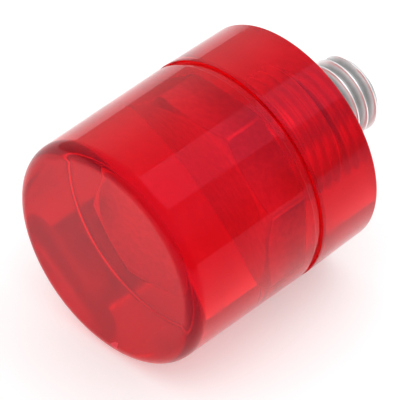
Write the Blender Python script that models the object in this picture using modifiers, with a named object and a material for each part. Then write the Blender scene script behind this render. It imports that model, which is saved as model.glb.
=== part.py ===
"""Screw-in soft striking tip for a soft-face mallet: a cast red plastic block and a rear
collar that hold a hex screw between them, with the screw's thread as the mounting stud.

The tip is built standing on its striking face, with its axis on local Z, and is then laid
on its side: world +Y runs along the axis from the striking face to the stud, and +Z is up.
Metres throughout."""

import math

import bmesh
import bpy
from mathutils import Matrix

# Driving dimensions of the plastic body.
FACE_DIAMETER = 0.0300  # across the body, just behind the rounded striking rim
RIM_RADIUS = 0.0019  # rounding between the striking face and the side
BLOCK_LENGTH = 0.02195  # striking face to the joint plane
BLOCK_DRAFT = math.radians(0.35)  # taper of the block towards the joint
COLLAR_LENGTH = 0.00885  # collar's front face to its seat face
COLLAR_DRAFT = math.radians(1.5)  # taper of the collar towards the seat
GROOVE_WIDTH = 0.00115  # of the shallow groove round the block, along the axis
GROOVE_DEPTH = 0.00035  # of that groove, below the body's surface
GROOVE_TO_JOINT = 0.00035  # full-size land between the groove and the joint plane
SEAT_EDGE_CHAMFER = 0.00020  # on the collar's rear edge

# Driving dimensions of the screw: M10 coarse thread, 16 mm hex.
THREAD_DIAMETER = 0.0100
THREAD_PITCH = 0.0015
SCREW_LENGTH = 0.0200  # under the head
HEAD_ACROSS_FLATS = 0.0160
HEAD_HEIGHT = 0.0064
HEAD_TOP_SHARE = 0.95  # diameter of the flat circle on the head, as a share of the flats
HEAD_CHAMFER_ANGLE = math.radians(30)
HEAD_TURN = math.radians(-11.3)  # from local +X to the first corner of the hexagon

CLEARANCE = 0.0003  # between pieces that touch

# Thread form, from the pitch.
THREAD_DEPTH = 0.6134 * THREAD_PITCH
CREST_FLAT = 0.125  # of a pitch
ROOT_FLAT = 0.25  # of a pitch
THREAD_RUN_IN = 0.75 * THREAD_PITCH  # over which the thread rises next to the head

# Facets.
BODY_SEGMENTS = 64
RIM_STEPS = 5
THREAD_SEGMENTS = 24
RINGS_PER_PITCH = 6

# Places along the axis that several pieces share.
COLLAR_START = BLOCK_LENGTH + CLEARANCE
SEAT_HEIGHT = COLLAR_START + COLLAR_LENGTH
SCREW_END = BLOCK_LENGTH + SCREW_LENGTH
POCKET_FLOOR = BLOCK_LENGTH - HEAD_HEIGHT - CLEARANCE

GROOVE_REAR = BLOCK_LENGTH - GROOVE_TO_JOINT
GROOVE_FRONT = GROOVE_REAR - GROOVE_WIDTH

FACE_RADIUS = FACE_DIAMETER / 2
GROOVE_EDGE_RADIUS = FACE_RADIUS - (GROOVE_FRONT - RIM_RADIUS) * math.tan(BLOCK_DRAFT)
JOINT_RADIUS = FACE_RADIUS - (BLOCK_LENGTH - RIM_RADIUS) * math.tan(BLOCK_DRAFT)
SEAT_RADIUS = JOINT_RADIUS - COLLAR_LENGTH * math.tan(COLLAR_DRAFT)
THREAD_RADIUS = THREAD_DIAMETER / 2
BORE_RADIUS = THREAD_RADIUS + CLEARANCE
OVERSHOOT = 0.002  # how far a cutter passes the face that it opens


def clear_scene():
    for obj in list(bpy.data.objects):
        bpy.data.objects.remove(obj, do_unlink=True)


def new_collection(name):
    collection = bpy.data.collections.new(name)
    bpy.context.scene.collection.children.link(collection)
    return collection


def finish_material(name, colour, roughness, metallic=0.0, transmission=0.0):
    material = bpy.data.materials.new(name)
    material.use_nodes = True
    shader = material.node_tree.nodes["Principled BSDF"]
    shader.inputs["Base Color"].default_value = (*colour, 1.0)
    shader.inputs["Roughness"].default_value = roughness
    shader.inputs["Metallic"].default_value = metallic
    shader.inputs["Transmission Weight"].default_value = transmission
    return material


def place(name, mesh, collection, axis, material=None, turn=0.0):
    """Puts a mesh on the tip's axis, turned about it."""
    obj = bpy.data.objects.new(name, mesh)
    obj.parent = axis
    obj.rotation_euler = (0.0, 0.0, turn)
    if material is not None:
        mesh.materials.append(material)
    collection.objects.link(obj)
    return obj


def as_cutter(obj):
    obj.hide_render = True
    obj.display_type = "WIRE"
    return obj


def profile_mesh(name, points, closed):
    """An outline in the XZ plane as a mesh of edges, for the Screw modifier."""
    outline = bmesh.new()
    corners = [outline.verts.new((radius, 0.0, height)) for radius, height in points]
    for first, second in zip(corners, corners[1:]):
        outline.edges.new((first, second))
    if closed:
        outline.edges.new((corners[-1], corners[0]))
    mesh = bpy.data.meshes.new(name)
    outline.to_mesh(mesh)
    outline.free()
    return mesh


def turn_profile(obj, segments):
    screw = obj.modifiers.new("turned", "SCREW")
    screw.axis = "Z"
    screw.steps = screw.render_steps = segments
    screw.use_merge_vertices = True
    screw.merge_threshold = 0.00001
    screw.use_smooth_shade = True
    return obj


def boolean(obj, operation, other, name):
    cut = obj.modifiers.new(name, "BOOLEAN")
    cut.operation = operation
    cut.solver = "EXACT"
    cut.object = other


def hex_prism(name, across_flats, bottom, top):
    """A hexagonal prism along Z with its first corner on +X."""
    prism = bmesh.new()
    corner_radius = across_flats / 2 / math.cos(math.radians(30))
    middle = Matrix.Translation((0.0, 0.0, (top + bottom) / 2))
    first_corner_to_x = Matrix.Rotation(math.radians(-90), 4, "Z")  # create_cone puts it on +Y
    bmesh.ops.create_cone(
        prism,
        cap_ends=True,
        segments=6,
        radius1=corner_radius,
        radius2=corner_radius,
        depth=top - bottom,
        matrix=middle @ first_corner_to_x,
    )
    mesh = bpy.data.meshes.new(name)
    prism.to_mesh(mesh)
    prism.free()
    return mesh


def block_outline():
    """From the axis at the joint, out, past the groove, round the rim, back to the axis."""
    points = [
        (0.0, BLOCK_LENGTH),
        (JOINT_RADIUS, BLOCK_LENGTH),
        (JOINT_RADIUS, GROOVE_REAR),
        (JOINT_RADIUS - GROOVE_DEPTH, GROOVE_REAR),
        (JOINT_RADIUS - GROOVE_DEPTH, GROOVE_FRONT),
        (GROOVE_EDGE_RADIUS, GROOVE_FRONT),
    ]
    for step in range(RIM_STEPS + 1):
        angle = math.pi / 2 * step / RIM_STEPS
        points.append(
            (
                FACE_RADIUS - RIM_RADIUS * (1 - math.cos(angle)),
                RIM_RADIUS * (1 - math.sin(angle)),
            )
        )
    points.append((0.0, 0.0))
    return points


def collar_outline():
    """Across the seat face, down the outside to the joint, then up the bore."""
    return [
        (BORE_RADIUS, SEAT_HEIGHT),
        (SEAT_RADIUS - SEAT_EDGE_CHAMFER, SEAT_HEIGHT),
        (SEAT_RADIUS, SEAT_HEIGHT - SEAT_EDGE_CHAMFER),
        (JOINT_RADIUS, COLLAR_START),
        (BORE_RADIUS, COLLAR_START),
    ]


def build_block(collection, cutters, axis):
    """The front block: striking face, groove, and a hexagonal pocket open to the joint."""
    plastic = finish_material("block_plastic", (0.62, 0.012, 0.02), 0.12, transmission=0.8)
    mesh = profile_mesh("striking_block", block_outline(), closed=False)
    half_facet = math.pi / BODY_SEGMENTS  # turns one facet straight down
    block = place("striking_block", mesh, collection, axis, plastic, half_facet)
    turn_profile(block, BODY_SEGMENTS)
    pocket_mesh = hex_prism(
        "head_pocket",
        HEAD_ACROSS_FLATS + 2 * CLEARANCE,
        POCKET_FLOOR,
        BLOCK_LENGTH + OVERSHOOT,
    )
    pocket = as_cutter(place("head_pocket", pocket_mesh, cutters, axis, turn=HEAD_TURN))
    boolean(block, "DIFFERENCE", pocket, "head pocket")
    return block


def build_collar(collection, axis):
    """The rear collar: it closes the pocket, and its back is the seat on the mallet head."""
    plastic = finish_material("collar_plastic", (0.66, 0.014, 0.024), 0.15, transmission=0.8)
    mesh = profile_mesh("rear_collar", collar_outline(), closed=True)
    half_facet = math.pi / BODY_SEGMENTS
    collar = place("rear_collar", mesh, collection, axis, plastic, half_facet)
    return turn_profile(collar, BODY_SEGMENTS)


def thread_radius(angle, height):
    """The screw's radius at an angle about its axis and a height above the bearing face."""
    turns = (height / THREAD_PITCH - angle / (2 * math.pi)) % 1.0
    from_crest = abs(turns - 0.5)  # 0 at the middle of the crest, half at the root
    flank = (0.5 - ROOT_FLAT / 2 - from_crest) / (0.5 - ROOT_FLAT / 2 - CREST_FLAT / 2)
    rise = min(max(flank, 0.0), 1.0)
    run_in = min(max(height / THREAD_RUN_IN, 0.0), 1.0)
    threaded = THREAD_RADIUS - THREAD_DEPTH * (1 - rise * run_in)
    end_cone = THREAD_RADIUS - THREAD_DEPTH + (SCREW_LENGTH - height)
    return min(threaded, end_cone)


def screw_shank_mesh(buried):
    """The threaded shank, starting buried in the head, as a cylinder pushed in and out."""
    shank = bmesh.new()
    depth = SCREW_LENGTH + buried
    rings = round(depth / THREAD_PITCH * RINGS_PER_PITCH)
    bmesh.ops.create_cone(
        shank,
        cap_ends=True,
        segments=THREAD_SEGMENTS,
        radius1=THREAD_RADIUS,
        radius2=THREAD_RADIUS,
        depth=depth,
    )
    caps = {edge for face in shank.faces if len(face.verts) > 4 for edge in face.edges}
    sides = [edge for edge in shank.edges if edge not in caps]
    bmesh.ops.subdivide_edges(shank, edges=sides, cuts=rings - 1, use_grid_fill=True)
    for vert in shank.verts:
        height = vert.co.z + depth / 2 - buried
        angle = math.atan2(vert.co.y, vert.co.x) % (2 * math.pi)
        radius = thread_radius(angle, height)
        vert.co = (radius * math.cos(angle), radius * math.sin(angle), BLOCK_LENGTH + height)
    mesh = bpy.data.meshes.new("screw_shank")
    shank.to_mesh(mesh)
    shank.free()
    return mesh


def head_envelope_outline():
    """A turned solid that takes the corners off the front of the hexagonal head."""
    head_front = BLOCK_LENGTH - HEAD_HEIGHT
    flat_radius = HEAD_TOP_SHARE * HEAD_ACROSS_FLATS / 2
    wide_radius = HEAD_ACROSS_FLATS
    slope_height = (wide_radius - flat_radius) * math.tan(HEAD_CHAMFER_ANGLE)
    top = BLOCK_LENGTH + OVERSHOOT
    return [
        (0.0, top),
        (wide_radius, top),
        (wide_radius, head_front + slope_height),
        (flat_radius, head_front),
        (0.0, head_front),
    ]


def build_screw(collection, cutters, axis):
    """The hex screw: its head fills the pocket, and its thread runs out through the collar."""
    steel = finish_material("zinc_steel", (0.50, 0.51, 0.52), 0.32, metallic=1.0)
    head_front = BLOCK_LENGTH - HEAD_HEIGHT
    mesh = hex_prism("hex_screw", HEAD_ACROSS_FLATS, head_front, BLOCK_LENGTH)
    screw = place("hex_screw", mesh, collection, axis, steel, HEAD_TURN)
    envelope_mesh = profile_mesh("head_envelope", head_envelope_outline(), closed=False)
    envelope = as_cutter(place("head_envelope", envelope_mesh, cutters, axis))
    turn_profile(envelope, BODY_SEGMENTS)
    boolean(screw, "INTERSECT", envelope, "head chamfer")
    shank_mesh = screw_shank_mesh(buried=HEAD_HEIGHT / 2)
    shank = as_cutter(place("screw_shank", shank_mesh, cutters, axis))
    boolean(screw, "UNION", shank, "threaded shank")
    return screw


def main():
    clear_scene()
    pieces = new_collection("soft_face_tip")
    cutters = new_collection("cutters")
    axis = bpy.data.objects.new("tip_axis", None)
    axis.rotation_euler = (math.radians(-90), 0.0, 0.0)  # local Z becomes world +Y
    pieces.objects.link(axis)
    build_block(pieces, cutters, axis)
    build_collar(pieces, axis)
    build_screw(pieces, cutters, axis)


main()
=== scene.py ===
# %% [markdown]
# # A screw-in soft tip for a mallet
# The object is one replaceable striking tip: a block and a collar of translucent red
# plastic, bonded round a zinc-plated hex screw whose thread stands out of the back. Its
# solids are designed already and come packed as a frame. The lesson loads that frame,
# keeps its box, and then makes a finer piece in the place of each solid.

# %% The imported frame
import math

import bmesh
import bpy
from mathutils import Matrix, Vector


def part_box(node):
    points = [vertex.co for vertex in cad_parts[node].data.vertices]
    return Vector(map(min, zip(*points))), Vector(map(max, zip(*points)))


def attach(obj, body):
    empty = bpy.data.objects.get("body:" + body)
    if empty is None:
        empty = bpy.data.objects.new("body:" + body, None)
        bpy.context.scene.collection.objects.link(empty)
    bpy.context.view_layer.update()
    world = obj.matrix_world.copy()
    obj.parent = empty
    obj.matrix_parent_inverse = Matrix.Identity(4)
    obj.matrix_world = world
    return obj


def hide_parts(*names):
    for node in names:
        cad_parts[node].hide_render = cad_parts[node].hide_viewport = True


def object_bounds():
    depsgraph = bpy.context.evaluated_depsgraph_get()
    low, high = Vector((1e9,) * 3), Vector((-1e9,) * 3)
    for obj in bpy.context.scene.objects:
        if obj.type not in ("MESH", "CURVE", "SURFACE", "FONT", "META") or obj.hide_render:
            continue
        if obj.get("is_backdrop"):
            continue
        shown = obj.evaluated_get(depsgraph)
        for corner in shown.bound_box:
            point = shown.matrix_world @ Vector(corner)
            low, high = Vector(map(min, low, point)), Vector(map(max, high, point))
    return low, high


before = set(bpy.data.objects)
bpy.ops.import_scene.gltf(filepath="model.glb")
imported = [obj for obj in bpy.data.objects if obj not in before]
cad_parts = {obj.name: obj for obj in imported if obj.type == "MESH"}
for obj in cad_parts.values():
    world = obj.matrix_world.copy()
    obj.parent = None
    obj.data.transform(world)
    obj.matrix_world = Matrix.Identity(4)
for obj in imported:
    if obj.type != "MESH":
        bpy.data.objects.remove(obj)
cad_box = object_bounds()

MM = 0.001


def in_mm(length):
    """A length as millimetres, rounded for printing."""
    return round(length / MM, 2)


block_low, block_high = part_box("striking_block")
collar_low, collar_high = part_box("rear_collar")
screw_low, screw_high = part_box("hex_screw")
print("nodes of the frame:", sorted(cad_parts))
print("its box in mm:", [[in_mm(place) for place in corner] for corner in cad_box])

# %% [markdown]
# ## Sizes
# Every place along the axis is read from the frame: the striking face looks along -Y and
# the stud ends at the highest Y. The solids of the frame keep a hair's gap where the real
# plastic is bonded to itself and to the screw. In a clear material such a gap shines like
# a mirror, so the shown pieces close it. Block and collar meet in its middle with an
# overlap of two hundredths of a millimetre, and light then passes from one to the next.
# The frame's round bodies have flat facets, so their true radius is a little larger than
# half of their box.

# %% Places along the axis, and sizes across it
OVERLAP = 0.01 * MM
face_y = block_low.y
joint_y = (block_high.y + collar_low.y) / 2
seat_y = collar_high.y
stud_end_y = screw_high.y
head_front_y = screw_low.y

FRAME_HALF_FACET = math.pi / 64
RIM_RADIUS = 1.9 * MM
BLOCK_SLOPE = math.tan(math.radians(0.35))
COLLAR_SLOPE = math.tan(math.radians(1.5))
face_radius = block_high.x / math.cos(FRAME_HALF_FACET)


def block_radius(along):
    """Radius of the block's side, which narrows a little towards the joint."""
    return face_radius - (along - face_y - RIM_RADIUS) * BLOCK_SLOPE


joint_radius = block_radius(joint_y)
seat_radius = joint_radius - (seat_y - joint_y) * COLLAR_SLOPE
radii = (face_radius, joint_radius, seat_radius)
places = (face_y, joint_y, seat_y, stud_end_y)
print("radius at the face, joint and seat:", [in_mm(radius) for radius in radii])
print("face, joint, seat and stud end at:", [in_mm(place) for place in places])

# %% [markdown]
# ## Turning a body
# A lathe makes a round piece by following an outline, and bmesh's spin does the same. The
# outline is a chain of points, each a radius and a place along the axis. A full spin
# merges its seam, and the copies of a point on the axis are welded afterwards. A cylinder
# with a Bevel modifier would also do for the block, but not for its pocket and groove.
#
# Smooth shading tilts the surface near an edge, and on a long face the tilt runs along
# its whole length and bends the reflections. So each straight stretch of an outline gets
# a second point close to either end, which keeps the tilt there.

# %% Outline helpers
SUPPORT = 0.12 * MM


def arc(centre, radius, start, end, steps):
    """Points (radius, along) on a round corner, between two angles in degrees."""
    turns = [math.radians(start + (end - start) * step / steps) for step in range(steps + 1)]
    return [(centre[0] + radius * math.cos(t), centre[1] + radius * math.sin(t)) for t in turns]


def supports(start, end):
    """The two points that lie close to either end of a straight stretch."""
    run = (end[0] - start[0], end[1] - start[1])
    share = SUPPORT / math.hypot(*run)
    near = (start[0] + run[0] * share, start[1] + run[1] * share)
    far = (end[0] - run[0] * share, end[1] - run[1] * share)
    return [near, far]


print("support points lie", in_mm(SUPPORT), "mm from the ends")

# %% Spinning an outline
WELD = 0.002 * MM


def turned(outline, segments, closed=False):
    """A bmesh of an outline spun a full turn about the Y axis."""
    body = bmesh.new()
    corners = [body.verts.new((radius, along, 0.0)) for radius, along in outline]
    chain = list(zip(corners, corners[1:]))
    if closed:
        chain.append((corners[-1], corners[0]))
    edges = [body.edges.new(pair) for pair in chain]
    bmesh.ops.spin(
        body,
        geom=corners + edges,
        axis=(0.0, 1.0, 0.0),
        cent=(0.0, 0.0, 0.0),
        angle=math.tau,
        steps=segments,
        use_merge=True,
    )
    bmesh.ops.remove_doubles(body, verts=body.verts[:], dist=WELD)
    print("turned", len(outline), "points into", len(body.faces), "faces")
    return body


# %% [markdown]
# ## Handing a piece to the frame
# A finished bmesh becomes a mesh whose faces all point outwards. It is shaded smooth, but
# for its sharp edges. The piece then rides on the frame's one body and replaces the node
# that it stands for.

# %% Finishing a piece
SHARP = math.radians(30)


def finish_piece(name, body, node):
    """Makes a bmesh the shown piece for a node of the frame."""
    bmesh.ops.recalc_face_normals(body, faces=body.faces[:])
    open_edges = sum(not edge.is_manifold for edge in body.edges)
    mesh = bpy.data.meshes.new(name)
    body.to_mesh(mesh)
    body.free()
    mesh.shade_smooth()
    mesh.set_sharp_from_angle(angle=SHARP)
    piece = bpy.data.objects.new(name, mesh)
    bpy.context.scene.collection.objects.link(piece)
    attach(piece, "root")
    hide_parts(node)
    print(name, "has", len(mesh.polygons), "faces and", open_edges, "open edges")
    return piece


# %% [markdown]
# ## The hexagon of the screw's head
# A forged hex head is a prism with slightly rounded corners, and its front edge is turned
# to a cone, so each flat ends in a curved line. A six-sided cylinder cut by a cone would
# make it, but the pocket in the plastic needs the same form a hair smaller. So one rule
# gives the hexagon's radius at an angle. Head and pocket are both spun round, with their
# hexagonal rings at a marked radius, and those rings are then pulled out to the rule.

# %% The hexagon's rule
HEAD_FLATS = 16.0 * MM
HEAD_CORNER_ROUND = 0.5 * MM
HEAD_TURN = math.radians(11.3)
SIXTH = math.radians(60)


def hexagon_radius(angle):
    """Radius of the rounded hexagon at an angle from +X towards +Z."""
    off_corner = abs((angle - HEAD_TURN + SIXTH / 2) % SIXTH - SIXTH / 2)
    apothem = HEAD_FLATS / 2
    to_round = (apothem - HEAD_CORNER_ROUND) / math.cos(SIXTH / 2)
    round_end = to_round + HEAD_CORNER_ROUND * math.cos(SIXTH / 2)
    if off_corner < math.atan2(HEAD_CORNER_ROUND / 2, round_end):
        side = to_round * math.sin(off_corner)
        return to_round * math.cos(off_corner) + math.sqrt(HEAD_CORNER_ROUND**2 - side**2)
    return apothem / math.cos(SIXTH / 2 - off_corner)


print("head across its corners:", in_mm(2 * hexagon_radius(HEAD_TURN)), "mm")

# %% Pulling marked rings out to the hexagon
HEAD_SEGMENTS = 360
HEAD_TOP_RADIUS = 0.95 * HEAD_FLATS / 2
HEAD_CONE = math.tan(math.radians(30))
marked_radius = HEAD_FLATS / 2 - 0.1 * MM
cone_ends_y = head_front_y + 0.5 * MM
print("marked radius:", in_mm(marked_radius), "mm")


def pull_to_hexagon(body, shrink):
    """Moves the rings at the marked radius out to the hexagon, and the cone's edge back."""
    pulled = 0
    for vert in body.verts:
        if abs(math.hypot(vert.co.x, vert.co.z) - marked_radius) > WELD:
            continue
        angle = math.atan2(vert.co.z, vert.co.x)
        radius = hexagon_radius(angle) - shrink
        vert.co.x = radius * math.cos(angle)
        vert.co.z = radius * math.sin(angle)
        if vert.co.y < cone_ends_y:
            vert.co.y += (radius - HEAD_TOP_RADIUS + shrink) * HEAD_CONE
        pulled += 1
    print("pulled", pulled, "points out to the hexagon")


# %% [markdown]
# ## The striking block
# The block is moulded soft plastic: a flat striking face, a rounded rim, a side with the
# slight slope that lets it leave its mould, and a shallow groove just before the joint.
# All of that is one outline, and it runs on over the joint into the pocket that grips the
# head of the screw. The pocket lies a hair inside the head, so that a ray of light leaves
# the plastic on metal and never crosses a film of air.

# %% The block's outside
RIM_STEPS = 20
GROOVE_WIDTH = 1.15 * MM
GROOVE_DEPTH = 0.35 * MM
GROOVE_TO_JOINT = 0.35 * MM
EDGE_ROUND = 0.1 * MM
groove_rear_y = block_high.y - GROOVE_TO_JOINT
groove_front_y = groove_rear_y - GROOVE_WIDTH


def block_outside():
    """From the middle of the face, round the rim, and through the groove to its rear edge."""
    rim_centre = (face_radius - RIM_RADIUS, face_y + RIM_RADIUS)
    rim = arc(rim_centre, RIM_RADIUS, -90, 0, RIM_STEPS)
    front_edge = (block_radius(groove_front_y) - EDGE_ROUND, groove_front_y - EDGE_ROUND)
    front_round = arc(front_edge, EDGE_ROUND, 0, 90, steps=5)
    floor_radius = block_radius(groove_rear_y) - GROOVE_DEPTH
    floor_corner = (floor_radius + EDGE_ROUND, groove_front_y + EDGE_ROUND)
    rear_edge = (block_radius(groove_rear_y) - EDGE_ROUND / 2, groove_rear_y + EDGE_ROUND / 2)
    outline = [(0.0, face_y), *supports((0.0, face_y), rim[0]), *rim]
    outline += [*supports(rim[-1], front_round[0]), *front_round]
    outline += arc(floor_corner, EDGE_ROUND, 270, 180, steps=4)
    outline += [(floor_radius, groove_rear_y - SUPPORT), (floor_radius, groove_rear_y)]
    outline += arc(rear_edge, EDGE_ROUND / 2, -90, 0, steps=3)
    return outline


print("groove from", in_mm(groove_front_y), "to", in_mm(groove_rear_y))

# %% The block
GRIP = 0.03 * MM


def make_block():
    pocket = [
        (joint_radius, joint_y + OVERLAP),
        (marked_radius, joint_y + OVERLAP),
        (marked_radius, head_front_y + GRIP),
        (HEAD_TOP_RADIUS - GRIP, head_front_y + GRIP),
        (0.0, head_front_y + GRIP),
    ]
    block = turned(block_outside() + pocket, HEAD_SEGMENTS)
    pull_to_hexagon(block, GRIP)
    return finish_piece("red_striking_block", block, "striking_block")


block_piece = make_block()

# %% [markdown]
# ## The rear collar
# The collar is the same plastic, moulded on behind the head, so that the screw can't turn
# or pull out. It narrows towards its back, a flat ring that seats on the mallet's head.
# It is turned from a closed outline, because it has a bore right through. The bore lies
# inside the roots of the thread, so the plastic fills the thread.

# %% The collar
BODY_SEGMENTS = 240
SEAT_EDGE_ROUND = 0.25 * MM
THREAD_RADIUS = 5.0 * MM
THREAD_PITCH = 1.5 * MM
THREAD_DEPTH = 0.6134 * THREAD_PITCH
root_radius = THREAD_RADIUS - THREAD_DEPTH


def make_collar():
    bore = root_radius - GRIP
    front_corner = (joint_radius, joint_y - OVERLAP)
    seat_edge = (seat_radius - SEAT_EDGE_ROUND, seat_y - SEAT_EDGE_ROUND)
    seat_round = arc(seat_edge, SEAT_EDGE_ROUND, 0, 90, steps=6)
    outline = [(bore, joint_y - OVERLAP), front_corner]
    outline += [*supports(front_corner, seat_round[0]), *seat_round]
    outline += [*supports(seat_round[-1], (bore, seat_y)), (bore, seat_y)]
    collar = turned(outline, BODY_SEGMENTS, closed=True)
    return finish_piece("red_rear_collar", collar, "rear_collar")


collar_piece = make_collar()

# %% [markdown]
# ## The thread
# A metric thread is rolled: its flanks meet at sixty degrees, with a flat crest and a
# softened root, and it climbs one pitch a turn. Blender's Screw modifier could make it.
# Here the spin does, because its dvec moves each copy along the axis. One turn is spun,
# and copies of it are set a pitch apart, which is far quicker than spinning them all.

# %% One turn of thread, and its copies
THREAD_STEPS = 72
OUTLINE_STEPS = 18
CREST_FLAT = 0.125
ROOT_FLAT = 0.25
SOFTNESS = 0.4
head_rear_y = joint_y + 2 * OVERLAP


def thread_rise(share):
    """How far up the flank a point is, from 0 at the root to 1 at the crest."""
    rise = (0.5 - ROOT_FLAT / 2 - abs(share - 0.5)) / (0.5 - ROOT_FLAT / 2 - CREST_FLAT / 2)
    rise = min(max(rise, 0.0), 1.0)
    return (1 - SOFTNESS) * rise + SOFTNESS * rise * rise * (3 - 2 * rise)


def spun_thread():
    thread = bmesh.new()
    start_y = head_rear_y - 2 * THREAD_PITCH
    corners = []
    for step in range(OUTLINE_STEPS + 1):
        share = step / OUTLINE_STEPS
        radius = root_radius + THREAD_DEPTH * thread_rise(share)
        corners.append(thread.verts.new((radius, start_y + share * THREAD_PITCH, 0.0)))
    edges = [thread.edges.new(pair) for pair in zip(corners, corners[1:])]
    bmesh.ops.spin(
        thread,
        geom=corners + edges,
        axis=(0.0, -1.0, 0.0),
        cent=(0.0, 0.0, 0.0),
        dvec=(0.0, THREAD_PITCH / THREAD_STEPS, 0.0),
        angle=math.tau,
        steps=THREAD_STEPS,
    )
    one_turn = thread.verts[:] + thread.edges[:] + thread.faces[:]
    turns = math.ceil((stud_end_y - start_y) / THREAD_PITCH) + 1
    for turn in range(1, turns):
        copy = bmesh.ops.duplicate(thread, geom=one_turn)["geom"]
        copied = [item for item in copy if isinstance(item, bmesh.types.BMVert)]
        bmesh.ops.translate(thread, verts=copied, vec=(0.0, turn * THREAD_PITCH, 0.0))
    bmesh.ops.remove_doubles(thread, verts=thread.verts[:], dist=WELD)
    print("thread of", turns, "turns,", len(thread.faces), "faces")
    return thread


# %% [markdown]
# ## The ends of the thread
# Under the head a real thread fades out into the shank, and at its tip it is turned to a
# cone, so that it starts easily in its hole. Both only change how far each point stands
# from the axis. The thread is then cut flat at both ends with bisect_plane. The head's
# bearing face lies a hair behind the joint, so that no plane of metal and plastic falls
# together with it.

# %% Fading, pointing and trimming the thread
RUN_IN = 0.75 * THREAD_PITCH


def shape_thread_ends(thread):
    """Fades the thread out under the head and turns its tip to a cone."""
    for vert in thread.verts:
        radius = math.hypot(vert.co.x, vert.co.z)
        fade = min(max((vert.co.y - head_rear_y) / RUN_IN, 0.0), 1.0)
        wanted = root_radius + (radius - root_radius) * fade
        wanted = min(wanted, root_radius + max(stud_end_y - vert.co.y, -THREAD_PITCH))
        vert.co.x *= wanted / radius
        vert.co.z *= wanted / radius


def trim(body, place_y, direction):
    """Cuts a body at a place along the axis and returns the edges of the cut."""
    cut = bmesh.ops.bisect_plane(
        body,
        geom=body.verts[:] + body.edges[:] + body.faces[:],
        dist=WELD / 4,
        plane_co=(0.0, place_y, 0.0),
        plane_no=(0.0, direction, 0.0),
        clear_outer=True,
    )
    edges = [item for item in cut["geom_cut"] if isinstance(item, bmesh.types.BMEdge)]
    print("cut at", in_mm(place_y), "through", len(edges), "edges")
    return edges


# %% [markdown]
# ## The head of the screw
# The head is spun like the plastic, pulled out to the hexagon, and its edges are bevelled,
# because forged and plated steel has no knife edges. Its bearing face keeps a round
# opening, a little wider than the shank.

# %% The head
HEAD_EDGE_BEVEL = 0.14 * MM
BRIDGE = 0.3 * MM
CORNER = math.radians(20)


def make_head():
    outline = [
        (0.0, head_front_y),
        (HEAD_TOP_RADIUS, head_front_y),
        (marked_radius, head_front_y),
        (marked_radius, head_rear_y),
        (root_radius + BRIDGE, head_rear_y),
    ]
    head = turned(outline, HEAD_SEGMENTS)
    pull_to_hexagon(head, 0.0)
    bmesh.ops.recalc_face_normals(head, faces=head.faces[:])
    joined = [edge for edge in head.edges if len(edge.link_faces) == 2]
    corners = [edge for edge in joined if edge.calc_face_angle() > CORNER]
    bmesh.ops.bevel(
        head,
        geom=corners,
        affect="EDGES",
        offset=HEAD_EDGE_BEVEL,
        segments=3,
        profile=0.5,
        material=-1,
    )
    print("bevelled", len(corners), "edges of the head")
    return head


# %% [markdown]
# ## The screw in one piece
# Head and thread are one forging. So bridge_loops joins the opening in the bearing face
# to the cut end of the thread, and one face closes the tip.

# %% The screw


def make_screw():
    """Joins the thread and the head, and closes the tip."""
    screw = spun_thread()
    shape_thread_ends(screw)
    bmesh.ops.contextual_create(screw, geom=trim(screw, stud_end_y, 1.0))
    trim(screw, head_rear_y, -1.0)
    head = make_head()
    head_mesh = bpy.data.meshes.new("head")
    head.to_mesh(head_mesh)
    head.free()
    screw.from_mesh(head_mesh)
    bpy.data.meshes.remove(head_mesh)
    bmesh.ops.bridge_loops(screw, edges=[edge for edge in screw.edges if edge.is_boundary])
    return finish_piece("zinc_hex_screw", screw, "hex_screw")


screw_piece = make_screw()

# %% [markdown]
# ## Writing shader maths as sums
# Blender's shader nodes are wired by hand in the editor. In a script it reads better to
# write the sum itself. A small class wraps a socket, each operator adds its Math node, and
# one method adds any other kind of node. Colours are mixed by a Mix node, because a Math
# node would turn them grey.

# %% A socket that does sums


def give(tree, socket, given):
    """Sets a socket to a number or colour, or links what another socket sends out to it."""
    if isinstance(given, Value):
        tree.links.new(given.socket, socket)
    else:
        socket.default_value = given


class Value:
    """What one socket of a node tree sends out."""

    def __init__(self, tree, socket=None):
        self.tree, self.socket = tree, socket

    def node(self, kind, settings, inputs, output=0):
        """Adds a node to the tree: its settings come first, then the values of its sockets."""
        node = self.tree.nodes.new("ShaderNode" + kind)
        for name, setting in settings.items():
            setattr(node, name, setting)
        for name, given in inputs.items():
            give(self.tree, node.inputs[name], given)
        return Value(self.tree, node.outputs[output])

    def __add__(self, other):
        return self.node("Math", {"operation": "ADD"}, {0: self, 1: other})

    def __sub__(self, other):
        return self.node("Math", {"operation": "SUBTRACT"}, {0: self, 1: other})

    def __rsub__(self, other):
        return self.node("Math", {"operation": "SUBTRACT"}, {0: other, 1: self})

    def __mul__(self, other):
        return self.node("Math", {"operation": "MULTIPLY"}, {0: self, 1: other})

    __radd__, __rmul__ = __add__, __mul__

    def clamped(self):
        """The same value, kept from 0 to 1."""
        return self.node("Math", {"operation": "ADD", "use_clamp": True}, {0: self, 1: 0.0})

    def between(self, low, high):
        """0 below low, 1 above high, and a smooth step from one to the other."""
        settings = {"interpolation_type": "SMOOTHSTEP"}
        return self.node("MapRange", settings, {0: self, 1: low, 2: high})

    def colour(self, first, second):
        """A colour that goes from the first to the second as this value goes from 0 to 1."""
        return self.node("Mix", {"data_type": "RGBA"}, {0: self, 6: first, 7: second}, output=2)

    def noise(self, scale, detail):
        """Soft random patches over this vector, about one over scale across."""
        return self.node("TexNoise", {}, {"Vector": self, "Scale": scale, "Detail": detail})


# %% Materials from sockets


def grey(level):
    return (level, level, level, 1.0)


def new_material(name, piece):
    """Gives a piece a new material, and returns a start for its nodes."""
    material = bpy.data.materials.new(name)
    material.use_nodes = True
    piece.data.materials.append(material)
    print(piece.name, "is made of", name)
    return Value(material.node_tree)


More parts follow.
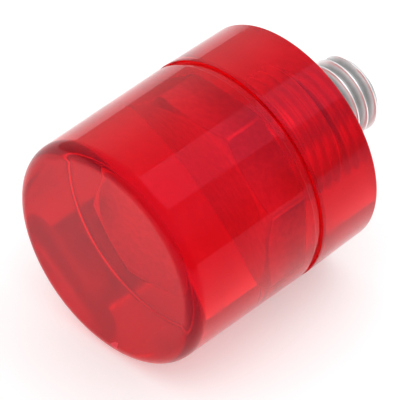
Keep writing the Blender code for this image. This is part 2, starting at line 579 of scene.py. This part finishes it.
def set_shader(start, values):
    """Fills the sockets of the material's Principled shader."""
    shader = start.tree.nodes["Principled BSDF"]
    for name, given in values.items():
        give(start.tree, shader.inputs[name], given)
    print("its tree has", len(start.tree.nodes), "nodes")


# %% [markdown]
# ## Translucent red plastic
# The plastic is clear and dyed through. Light loses its green and blue in the first
# millimetres, and a little red in every further one: that is a volume that absorbs. The
# surface bends light as clear plastic does, with fine scuffs and a haze that comes and
# goes, and a small share of the light scatters back from the dye. A plain red diffuse
# colour would hide the screw, and clear glass would be too clean.

# %% Red plastic
DEEP_RED = (0.87, 0.010, 0.026, 1.0)
FULL_RED = (0.99, 0.012, 0.030, 1.0)
GLANCE_RED = (1.0, 0.12, 0.28, 1.0)
BODY_RED = (0.97, 0.25, 0.30, 1.0)
DYE_DENSITY = 120.0
CLEAR_SHARE = 0.88
BEND_OF_LIGHT = 1.48
FINE_BUMP = 0.1 * MM


def red_plastic(name, piece, roughness):
    start = new_material(name, piece)
    place = start.node("TexCoord", {}, {}, output="Object")
    haze = place.noise(scale=120.0, detail=5.0).between(0.52, 0.62)
    dye = place.noise(scale=150.0, detail=2.0).between(0.35, 0.65)
    specks = place.noise(scale=1600.0, detail=3.0).between(0.35, 0.65)
    scratches = place.noise(scale=260.0, detail=4.0)
    scuffs = {"Strength": 0.05, "Distance": FINE_BUMP, "Height": scratches}
    set_shader(
        start,
        {
            "Base Color": (0.6 * dye + 0.4 * specks).colour(DEEP_RED, FULL_RED),
            "Roughness": roughness + 0.10 * haze,
            "IOR": BEND_OF_LIGHT,
            "Transmission Weight": CLEAR_SHARE,
            "Specular Tint": GLANCE_RED,
            "Normal": start.node("Bump", {}, scuffs),
        },
    )
    dyed = start.node("VolumeAbsorption", {}, {"Color": BODY_RED, "Density": DYE_DENSITY})
    give(start.tree, start.tree.nodes["Material Output"].inputs["Volume"], dyed)


red_plastic("block red", block_piece, roughness=0.04)
red_plastic("collar red", collar_piece, roughness=0.06)

# %% [markdown]
# ## Zinc plating
# Bright zinc is a pale, slightly cloudy metal. Where the thread stands in the open it is
# rougher, and its roots are darker: partly dirt, partly painted shade for the shadow in its
# grooves. The forged head is a shade darker than the rolled thread. The darkening of the
# roots follows the distance from the axis, so it needs no texture map: it is worked out
# from the point's own place on the screw. A plating is no perfect mirror, even seen at a
# grazing angle, so the tint that the metal has there is a little below white.

# %% Zinc-plated steel
BARE_GREY = 0.95
# The grey deep in the thread's roots: partly dirt, partly painted shade in the grooves.
ROOT_DIRT_AND_SHADE_GREY = 0.50
HEAD_GREY = 0.90
EDGE_TINT = (0.8, 0.8, 0.8, 1.0)


def zinc(piece):
    start = new_material("bright zinc", piece)
    place = start.node("TexCoord", {}, {}, output="Object")
    across = start.node("VectorMath", {"operation": "MULTIPLY"}, {0: place, 1: (1.0, 0.0, 1.0)})
    radius = start.node("VectorMath", {"operation": "LENGTH"}, {0: across}, output="Value")
    along = start.node("SeparateXYZ", {}, {0: place}, output="Y")
    cloud = place.noise(scale=1400.0, detail=4.0)
    down_the_thread = 1 - radius.between(root_radius, THREAD_RADIUS)
    in_the_open = along.between(seat_y, seat_y + 0.3 * MM)
    end_face = along.between(stud_end_y - 0.2 * MM, stud_end_y - 0.05 * MM)
    # Painted shade with some dirt: the roots darken where the thread stands in the open, less
    # so on its end face.
    root_dirt_and_shade = down_the_thread * in_the_open * (1 - 0.6 * end_face)
    tone = (1 - root_dirt_and_shade + 0.35 * (cloud - 0.5)).clamped()
    plated = tone.colour(grey(ROOT_DIRT_AND_SHADE_GREY), grey(BARE_GREY))
    forged = cloud.between(0.3, 0.7).colour(grey(0.9 * HEAD_GREY), grey(HEAD_GREY))
    behind_head = along.between(head_rear_y - 0.2 * MM, head_rear_y + 0.2 * MM)
    bump = start.node("Bump", {}, {"Strength": 0.08, "Distance": FINE_BUMP, "Height": cloud})
    set_shader(
        start,
        {
            "Base Color": behind_head.colour(forged, plated),
            "Metallic": 1.0,
            "Roughness": 0.42 - 0.12 * tone + 0.12 * in_the_open,
            "Specular Tint": EDGE_TINT,
            "Normal": bump,
        },
    )


zinc(screw_piece)

# %% [markdown]
# ## The sheet that the tip lies on
# A part for a catalogue lies on a white sheet that is lit from behind, so that its shadow
# nearly disappears.

# %% Floor
FLOOR_SIZE = 3.0
SHEET_WHITE = grey(0.9)
SHEET_GLOW = 0.36


def make_floor():
    floor = bmesh.new()
    bmesh.ops.create_grid(floor, x_segments=1, y_segments=1, size=FLOOR_SIZE)
    bmesh.ops.translate(floor, verts=floor.verts[:], vec=(0.0, 0.0, cad_box[0].z))
    mesh = bpy.data.meshes.new("floor")
    floor.to_mesh(mesh)
    floor.free()
    piece = bpy.data.objects.new("floor", mesh)
    bpy.context.scene.collection.objects.link(piece)
    piece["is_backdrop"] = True
    start = new_material("lit white sheet", piece)
    glow = {"Emission Color": SHEET_WHITE, "Emission Strength": SHEET_GLOW}
    set_shader(start, {"Base Color": SHEET_WHITE, "Roughness": 0.9, **glow})
    print("floor at a height of", in_mm(cad_box[0].z), "mm")


make_floor()

# %% [markdown]
# ## Soft light
# One soft box hangs high over the back of the tip. A box of light, and not a point, gives
# the plastic its wide, quiet highlight along the side, and its size sets how wide that
# highlight is. The camera doesn't see the lamp itself.

# %% Soft box
middle = Vector((0.0, (face_y + stud_end_y) / 2, 0.0))


def soft_box(name, direction, distance, width, length, power):
    """A rectangle of light at a direction and distance from the object, facing it."""
    light = bpy.data.lights.new(name, "AREA")
    light.shape = "RECTANGLE"
    light.size, light.size_y = width, length
    light.energy = power
    lamp = bpy.data.objects.new(name, light)
    towards = Vector(direction).normalized()
    lamp.location = middle + towards * distance
    lamp.rotation_euler = towards.to_track_quat("Z", "Y").to_euler()
    lamp.visible_camera = False
    bpy.context.scene.collection.objects.link(lamp)
    print(name, "of", power, "W at", [round(place, 3) for place in lamp.location])


soft_box(
    "top box",
    direction=(0.2, 0.511, 0.836),
    distance=0.5,
    width=0.275,
    length=0.34,
    power=0.30,
)

# %% [markdown]
# ## A tent of white cloth
# Clear things are photographed inside a tent, because they show whatever stands round
# them. The world plays the tent: bright above, a little darker near the ground, and
# darker again through its opening low on the right, which gives the metal something to
# reflect besides white. Under the horizon it is plain white, as the sheet is, so a low
# view doesn't show where the sheet ends.

# %% Tent
CLOTH_LOW = grey(0.55)
CLOTH_HIGH = grey(0.95)
OPENING = grey(0.42)
SHEET_BEYOND = grey(1.0)


def make_tent():
    world = bpy.data.worlds.new("white tent")
    world.use_nodes = True
    tree = world.node_tree
    start = Value(tree)
    direction = start.node("TexCoord", {}, {}, output="Generated")
    right = start.node("SeparateXYZ", {}, {0: direction}, output="X")
    height = start.node("SeparateXYZ", {}, {0: direction}, output="Z")
    cloth = height.between(0.0, 0.6).colour(CLOTH_LOW, CLOTH_HIGH)
    opening = right.between(0.45, 0.95) * (1 - height.between(0.15, 0.6))
    tent = opening.colour(cloth, OPENING)
    all_round = height.between(-0.03, -0.005).colour(SHEET_BEYOND, tent)
    give(tree, tree.nodes["Background"].inputs["Color"], all_round)
    bpy.context.scene.world = world
    print("tent of", len(tree.nodes), "nodes")


make_tent()

# %% [markdown]
# ## Camera
# The camera looks down on the tip from its right front, as a catalogue picture does. It
# stands far off with a long lens, so that the sides of the tip stay nearly parallel. The
# lens follows from the distance and from how wide a strip of the scene has to fit.

# %% Camera
VIEW_AZIMUTH = math.radians(44.7)
VIEW_ELEVATION = math.radians(42.9)
CAMERA_DISTANCE = 1.5
FRAME_WIDTH = 47.39 * MM
AIM_BEHIND_FACE = 16.5 * MM
AIM_SHIFT = Vector((-0.379 * MM, -1.054 * MM, 0.0))


def make_camera():
    data = bpy.data.cameras.new("camera")
    data.lens = data.sensor_width * CAMERA_DISTANCE / FRAME_WIDTH
    data.clip_end = 20.0
    camera = bpy.data.objects.new("camera", data)
    level = math.cos(VIEW_ELEVATION)
    right, front = math.sin(VIEW_AZIMUTH) * level, -math.cos(VIEW_AZIMUTH) * level
    back = Vector((right, front, math.sin(VIEW_ELEVATION)))
    turn = back.to_track_quat("Z", "Y")
    aim = Vector((0.0, face_y + AIM_BEHIND_FACE, 0.0)) + turn @ AIM_SHIFT
    camera.location = aim + back * CAMERA_DISTANCE
    camera.rotation_euler = turn.to_euler()
    bpy.context.scene.collection.objects.link(camera)
    bpy.context.scene.camera = camera
    print("lens of", round(data.lens), "mm at", [round(place, 3) for place in camera.location])


make_camera()

# %% [markdown]
# ## Colour and bounces
# The Standard view keeps the dye's strong red, which a filmic view would pale. Light
# bounces to and fro between the plastic and the metal in it, so reflected rays get as many
# bounces as refracted ones.

# %% View and bounces
BOUNCES = 12
scene = bpy.context.scene
scene.view_settings.view_transform = "Standard"
scene.cycles.glossy_bounces = BOUNCES
print("bounces off and through:", BOUNCES, scene.cycles.transmission_bounces)

# %% [markdown]
# ## The box of what is shown is printed, as the frame's box was at the start.
# What is shown must fill the frame's own box and no more, so both boxes are written out.

# %% Sizes, and the end
shown_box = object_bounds()
print("shown box in mm:", [[in_mm(place) for place in corner] for corner in shown_box])
